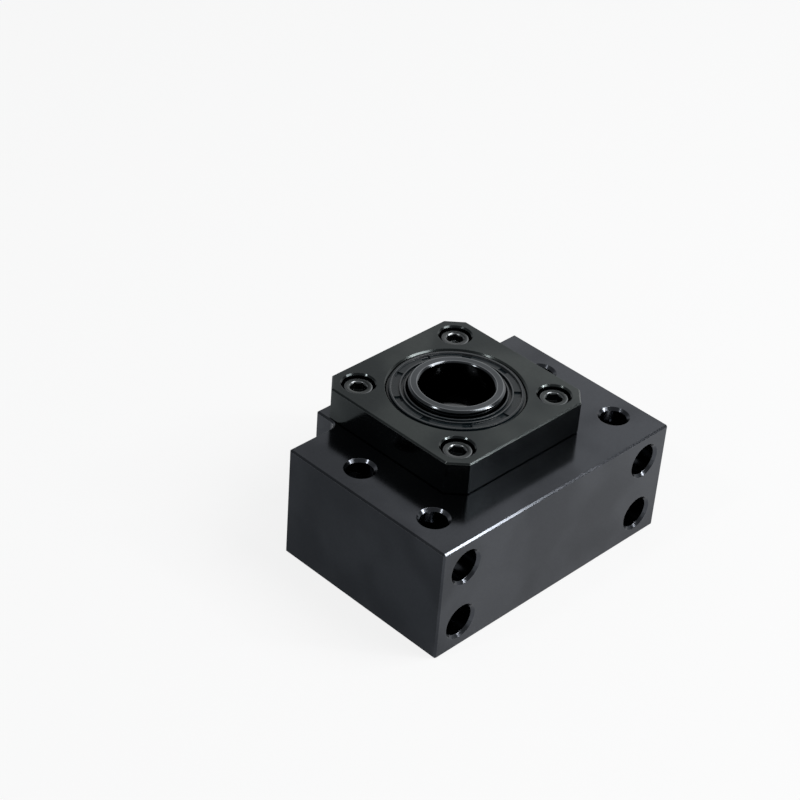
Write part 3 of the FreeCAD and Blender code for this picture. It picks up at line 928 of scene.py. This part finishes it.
@dataclass
class ShaftSeal:
    """Rubber shaft seal with a rim, nine notched pads and a lip, and its coiled garter spring."""

    side: Side
    face: float

    # Outer wall and web
    outside: float = 22.98 * MM
    width: float = 6.0 * MM
    wall: float = 1.4 * MM
    web: float = 1.3 * MM

    # Groove, rim and pads
    groove: float = 0.75 * MM
    groove_depth: float = 1.0 * MM
    rim: float = 0.85 * MM
    pad_drop: float = 0.6 * MM
    pad_foot: float = 0.2 * MM
    pad_steps: int = 12

    # Notches between the pads, with a steep bank and a softened foot
    notches: int = 9
    notch_start: float = math.radians(34.4)
    notch_span: float = math.radians(9.0)
    notch_bank: float = math.radians(0.16)
    notch_depth: float = 0.5 * MM
    foot_turn: float = 0.8
    foot_depth: float = 0.12

    # Ridge, valley and band between the pads and the collar
    collar_radius: float = 16.0 * MM
    mouth_gap: float = 0.7 * MM
    band: float = 0.55 * MM
    valley: float = 0.95 * MM
    valley_depth: float = 1.0 * MM
    ridge: float = 0.6 * MM
    edge: float = 0.13 * MM
    sharp_degrees: float = 50.0

    # Lip and the hollow in its back
    lip_gap: float = 0.1 * MM
    lip_tip: float = 3.0 * MM
    lip_end: float = 4.7 * MM
    lip_flare: float = 0.5 * MM
    lip_wall: float = 1.5 * MM
    hollow_degrees: tuple[float, ...] = (227, 205, 180, 155, 133)
    spring_gap: float = 0.02 * MM

    # Garter spring
    spring_sink: float = 0.4 * MM
    spring_width: float = 1.1 * MM
    spring_wire: float = 0.13 * MM
    spring_coils: int = 380
    coil_steps: int = 8
    wire_sides: int = 5
    spring_sharp_degrees: float = 60.0

    @property
    def pad_outside(self) -> float:
        """Radius of the pads' outer edge."""
        return self.outside - self.groove - self.rim

    @property
    def pad_inside(self) -> float:
        """Radius of the pads' inner edge."""
        return self.collar_radius + self.mouth_gap + self.band + self.valley + self.ridge

    @property
    def lip_back(self) -> float:
        """Radius of the lip's back, under the spring."""
        return self.collar_radius + self.lip_gap + self.lip_wall

    @property
    def spring_ring(self) -> float:
        """Radius of the circle that the spring's middle runs on."""
        return self.lip_back + self.spring_width / 2 - self.spring_sink

    @property
    def spring_height(self) -> float:
        """Height of the spring's middle above the seal's face."""
        return -(self.lip_tip + self.lip_end) / 2

    def section(self) -> list[Point]:
        """Closed outline of the seal's section, radius and height above its face.

        Returns:
            The outline.
        """
        out, drop, deep = self.outside, self.pad_drop, self.valley_depth
        rim = out - self.groove
        mouth = self.collar_radius + self.mouth_gap
        band = mouth + self.band
        valley = band + self.valley
        lip = self.collar_radius + self.lip_gap
        web = -(drop + self.notch_depth + self.web)
        radius = self.spring_width / 2 + self.spring_gap
        hollow: list[Point] = []
        for bend in map(math.radians, self.hollow_degrees):
            across, up = radius * math.cos(bend), radius * math.sin(bend)
            hollow.append((self.spring_ring + across, self.spring_height - up))
        return [
            (out, -self.width), (out, -self.groove_depth), (rim, -self.groove_depth), (rim, 0.0),
            (self.pad_outside, 0.0), (self.pad_outside, -drop),
            (self.pad_inside, -drop), (self.pad_inside, 0.0),
            (valley, 0.0), (valley, -deep), (band, -deep), (band, 0.0), (mouth, 0.0),
            (lip, -self.lip_tip), (lip + self.lip_flare, -self.lip_end),
            (self.lip_back, -self.lip_end), *hollow, (self.lip_back, web),
            (out - self.wall, web), (out - self.wall, -self.width),
        ]

    def columns(self) -> list[Point]:
        """Columns of the mesh over one notch and the pad after it.

        Returns:
            For each, its angle from the middle of the notch and the share of the notch's depth.
        """
        half, bank = self.notch_span / 2, self.notch_bank
        start, end = half + bank, FULL_TURN / self.notches - half - bank
        cut = [(half * share, 1.0) for share in (-1.0, -0.5, 0.0, 0.5, 1.0)]
        steps = range(self.pad_steps + 1)
        pad = [(start + (end - start) * step / self.pad_steps, 0.0) for step in steps]
        before = (half + bank * self.foot_turn, self.foot_depth)
        after = (end + bank * (1.0 - self.foot_turn), self.foot_depth)
        return [*cut, before, *pad, after]

    def build(self, finish: bpy.types.Material) -> bpy.types.Object:
        """Make the seal.

        Args:
            finish: Its material.

        Returns:
            The piece.
        """
        outline = rounded(self.section(), self.edge)
        columns = self.columns()
        sign = self.side.sign
        deepest, foot = -2 * self.pad_drop, self.pad_foot - self.pad_drop

        def place(row: int, column: int) -> Vector:
            """Place of a point, lowered where it stands on a pad's face in a notch.

            Args:
                row: Row of the section.
                column: Column round the axis.

            Returns:
                The place.
            """
            radius, height = outline[row]
            own, cut = columns[column % len(columns)]
            notch = column // len(columns)
            turn = self.notch_start + own + FULL_TURN / self.notches * notch
            if self.pad_inside <= radius <= self.pad_outside and deepest < height < foot:
                height -= self.notch_depth * cut
            return on_circle(radius, turn * sign, self.face + sign * height)

        name = "%s_seal_moulded" % self.side.value
        mesh = closed_grid(name, len(outline), len(columns) * self.notches, place)
        piece = smooth_piece(mesh, self.sharp_degrees)
        settle(piece, finish, Body.HOUSING, "%s_seal" % self.side.value)
        return piece

    def build_spring(self, finish: bpy.types.Material) -> bpy.types.Object:
        """Make the garter spring, a ring of close wound wire.

        Args:
            finish: Its material.

        Returns:
            The piece.
        """
        middle = self.face + self.side.sign * self.spring_height
        coil = self.spring_width / 2 - self.spring_wire
        steps = self.spring_coils * self.coil_steps

        def place(step: int, corner: int) -> Vector:
            """Place of a point of the wire.

            Args:
                step: Step along the wire.
                corner: Corner of the wire's section.

            Returns:
                The place.
            """
            turn = FULL_TURN * step / steps
            wind = FULL_TURN * step / self.coil_steps
            bend = FULL_TURN * corner / self.wire_sides
            reach = coil + self.spring_wire * math.cos(bend)
            aside = Vector((-math.sin(turn), math.cos(turn), 0)) * self.spring_wire * math.sin(bend)
            radius = self.spring_ring + reach * math.cos(wind)
            return on_circle(radius, turn, middle + reach * math.sin(wind)) + aside

        name = "%s_seal_spring_coiled" % self.side.value
        mesh = closed_grid(name, steps, self.wire_sides, place)
        piece = smooth_piece(mesh, self.spring_sharp_degrees)
        settle(piece, finish, Body.HOUSING, "%s_seal_spring" % self.side.value)
        return piece


@dataclass
class Collar:
    """Spacer collar on the shaft, from the bearings out to its open end."""

    side: Side
    inner_end: float
    outer_end: float
    lead: float
    bore: float = 12.5 * MM
    outside: float = 16.0 * MM
    inner_lead: float = 0.6 * MM
    chamfer: float = 0.6 * MM
    edge: float = 0.12 * MM
    columns: int = 240
    sharp_degrees: float = 40.0

    def section(self) -> list[Point]:
        """Closed outline of the collar's section, radius and height.

        Returns:
            The outline.
        """
        inner, outer, sign = self.inner_end, self.outer_end, self.side.sign
        return [
            (self.bore + self.inner_lead, inner), (self.outside - self.chamfer, inner),
            (self.outside, inner + sign * self.chamfer),
            (self.outside, outer - sign * self.chamfer),
            (self.outside - self.chamfer, outer), (self.bore + self.lead, outer),
            (self.bore, outer - sign * self.lead), (self.bore, inner + sign * self.inner_lead),
        ]

    def build(self, finish: bpy.types.Material) -> bpy.types.Object:
        """Make the collar.

        Args:
            finish: Its material.

        Returns:
            The piece.
        """
        outline = rounded(self.section(), self.edge)

        def place(row: int, column: int) -> Vector:
            """Place of a point by row of the section and column round the axis."""
            radius, height = outline[row]
            return on_circle(radius, FULL_TURN * column / self.columns, height)

        name = "%s_collar_turned" % self.side.value
        piece = smooth_piece(
            closed_grid(name, len(outline), self.columns, place), self.sharp_degrees)
        settle(piece, finish, Body.ROTOR, "%s_collar" % self.side.value)
        return piece


# Studio


@dataclass(frozen=True)
class Softbox:
    """Round lamp that looks at the object from a direction."""

    name: str
    direction: Place
    across: float
    power: float


@dataclass
class Studio:
    """Pale floor, dim surroundings, four round lamps and the camera of the photograph."""

    # Floor, and how far it is lifted to white
    floor_reach: float = 4.0
    floor_colour: Colour = (0.80, 0.80, 0.80)
    floor_lift: float = 0.84
    mirrored_lift: float = 0.12

    # Painted shade on the floor: a grey patch that only reflections see
    painted_shade_place: Place = (-0.112, 0.0, 0.0)
    painted_shade_colour: Colour = (0.9, 0.95, 1.0)
    painted_shade_level: float = 0.25
    painted_shade_share: float = 0.85
    painted_shade_reach: float = 0.095
    painted_shade_core: float = 0.6

    # Lamps
    lamp_distance: float = 1.2
    softboxes: tuple[Softbox, ...] = (
        Softbox("overhead_softbox", (0.35, -0.45, 0.82), 0.70, 8.5),
        Softbox("right_spot", (0.46, -0.65, 0.605), 0.11, 1.4),
        Softbox("edge_spot", (0.535, -0.657, 0.533), 0.10, 0.85),
        Softbox("left_spot", (-0.644, 0.132, 0.745), 0.11, 1.2),
    )

    # Room
    room_colour: Colour = (0.96, 0.98, 1.0)
    room_level: float = 0.22
    ceiling_level: float = 0.40
    ceiling_span: Span = (0.86, 0.97)
    horizon_level: float = 0.35
    horizon_span: Span = (0.22, 0.40)
    backdrop: Place = (0.902, 0.242, 0.358)
    backdrop_span: Span = (0.78, 0.96)

    # Camera
    lens: float = 95.63
    sensor_width: float = 36.0
    clip_start: float = 0.01
    camera_place: Place = (-0.42929, -0.37477, 0.44729)
    camera_aim: Place = (0.59937, 0.55771, -0.57421)
    camera_roll: float = math.radians(4.46)

    def build(self) -> None:
        """Make the whole studio."""
        self.build_floor()
        self.build_surroundings()
        for softbox in self.softboxes:
            self.build_lamp(softbox)
        self.build_camera()
        bpy.context.scene.view_settings.view_transform = "Standard"
        LOG.info("studio: floor, surroundings, %d lamps and camera", len(self.softboxes))

    def build_floor(self) -> None:
        """Make the floor and dress it in paper."""
        r = self.floor_reach
        mesh = bpy.data.meshes.new("floor")
        mesh.from_pydata([(-r, -r, 0), (r, -r, 0), (r, r, 0), (-r, r, 0)], [], [(0, 1, 2, 3)])
        mesh.materials.append(self.paper())
        floor = bpy.data.objects.new("floor", mesh)
        bpy.context.scene.collection.objects.link(floor)

    def paper(self) -> bpy.types.Material:
        """White paper, lifted to the eye and a little in reflections, with painted shade on it.

        The painted shade is a grey patch behind the object's left end. The steel mirrors it and the
        camera doesn't see it.

        Returns:
            The material.
        """
        material, sh = new_material("floor_paper")
        paper = sh.feed(sh.node("BsdfDiffuse"), Color=self.floor_colour)
        glow = sh.feed(sh.node("Emission"), Color=WHITE, Strength=1.0)
        # Painted shade: a dim grey glow that stands in for shade on the floor, seen only in
        # reflections.
        painted_shade = sh.feed(sh.node("Emission"), Color=self.painted_shade_colour, Strength=self.painted_shade_level)
        path = sh.node("LightPath").outputs
        seen = sh.number("MAXIMUM", path["Is Camera Ray"], path["Is Transmission Ray"])
        seen_lift = sh.number("MULTIPLY", seen, self.floor_lift)
        mirrored_lift = sh.number("MULTIPLY", path["Is Glossy Ray"], self.mirrored_lift)
        lift = sh.number("MAXIMUM", seen_lift, mirrored_lift)
        lifted = sh.blend(lift, paper.outputs[0], glow.outputs[0])
        # Where the painted shade lies on the floor, faded out at its edge and hidden from the
        # camera.
        off = sh.vector("DISTANCE", sh.node("TexCoord").outputs["Object"], self.painted_shade_place)
        fade = (self.painted_shade_reach * self.painted_shade_core, self.painted_shade_reach)
        share = sh.remap(off, fade, (self.painted_shade_share, 0.0))
        unseen = sh.number("SUBTRACT", 1.0, path["Is Camera Ray"])
        both = sh.blend(sh.number("MULTIPLY", share, unseen), lifted, painted_shade.outputs[0])
        sh.feed(sh.node("OutputMaterial"), Surface=both)
        return material

    def build_surroundings(self) -> None:
        """Make the room, which is white to the camera.

        To the object it is dim, brighter along the horizon and overhead, with a white backdrop
        at the right that steel mirrors.
        """
        world = bpy.data.worlds.new("studio_room")
        world.use_nodes = True
        bpy.context.scene.world = world
        sh = Shader(world.node_tree)
        way = sh.node("TexCoord").outputs["Generated"]
        height = sh.feed(sh.node("SeparateXYZ"), way).outputs["Z"]
        low = sh.remap(height, self.horizon_span, (self.horizon_level, 0.0))
        high = sh.remap(height, self.ceiling_span, (0.0, self.ceiling_level))
        level = sh.number("ADD", sh.number("ADD", low, high), self.room_level)
        soft = sh.feed(sh.node("Background"), Color=self.room_colour, Strength=level)
        white = sh.feed(sh.node("Background"), Color=WHITE, Strength=1.0)
        facing = sh.vector("DOT_PRODUCT", way, Vector(self.backdrop).normalized())
        patch = sh.remap(facing, self.backdrop_span, FADE_IN)
        path = sh.node("LightPath").outputs
        direct = sh.number("MAXIMUM", path["Is Camera Ray"], path["Is Transmission Ray"])
        mirrored = sh.number("MULTIPLY", path["Is Glossy Ray"], patch)
        share = sh.number("MAXIMUM", direct, mirrored)
        both = sh.blend(share, soft.outputs[0], white.outputs[0])
        sh.feed(sh.node("OutputWorld"), Surface=both)

    def build_lamp(self, softbox: Softbox) -> None:
        """Make one softbox.

        Args:
            softbox: Its place, size and power.
        """
        direction = Vector(softbox.direction).normalized()
        data = bpy.data.lights.new(softbox.name, "AREA")
        data.shape = "DISK"
        data.size = softbox.across
        data.energy = softbox.power
        lamp = bpy.data.objects.new(softbox.name, data)
        lamp.location = direction * self.lamp_distance
        lamp.rotation_euler = (-direction).to_track_quat("-Z", "Y").to_euler()
        bpy.context.scene.collection.objects.link(lamp)

    def build_camera(self) -> None:
        """Stand the camera where the photograph was taken."""
        aim = Vector(self.camera_aim).normalized()
        level = aim.cross(Vector((0, 0, 1))).normalized()
        upright = level.cross(aim)
        up = upright * math.cos(self.camera_roll) - level * math.sin(self.camera_roll)
        turned = Matrix((aim.cross(up), up, -aim)).transposed().to_4x4()
        data = bpy.data.cameras.new("camera")
        data.lens = self.lens
        data.sensor_width = self.sensor_width
        data.clip_start = self.clip_start
        camera = bpy.data.objects.new("camera", data)
        camera.matrix_world = Matrix.Translation(self.camera_place) @ turned
        bpy.context.scene.collection.objects.link(camera)
        bpy.context.scene.camera = camera


def main() -> None:
    """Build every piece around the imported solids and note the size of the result."""
    logging.basicConfig(level=logging.INFO, format="%(name)s %(message)s")
    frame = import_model()
    nodes = frame["nodes"]
    Block().dress(nodes)
    BearingPair().dress(nodes)
    CoverScrews().build(SCREW_STEEL.material())
    rubber, spring = SEAL_RUBBER.material(), SPRING_STEEL.material()
    front_seal = ShaftSeal(Side.FRONT, face=53.9 * MM)
    rear_seal = ShaftSeal(Side.REAR, face=0.5 * MM)
    for seal in (front_seal, rear_seal):
        seal.build(rubber)
        seal.build_spring(spring)
    steel = COLLAR_STEEL.material()
    Collar(Side.FRONT, inner_end=39.0 * MM, outer_end=56.2 * MM, lead=0.6 * MM).build(steel)
    Collar(Side.REAR, inner_end=9.0 * MM, outer_end=0.2 * MM, lead=0.5 * MM).build(steel)
    Studio().build()


if __name__ == "__main__":
    main()
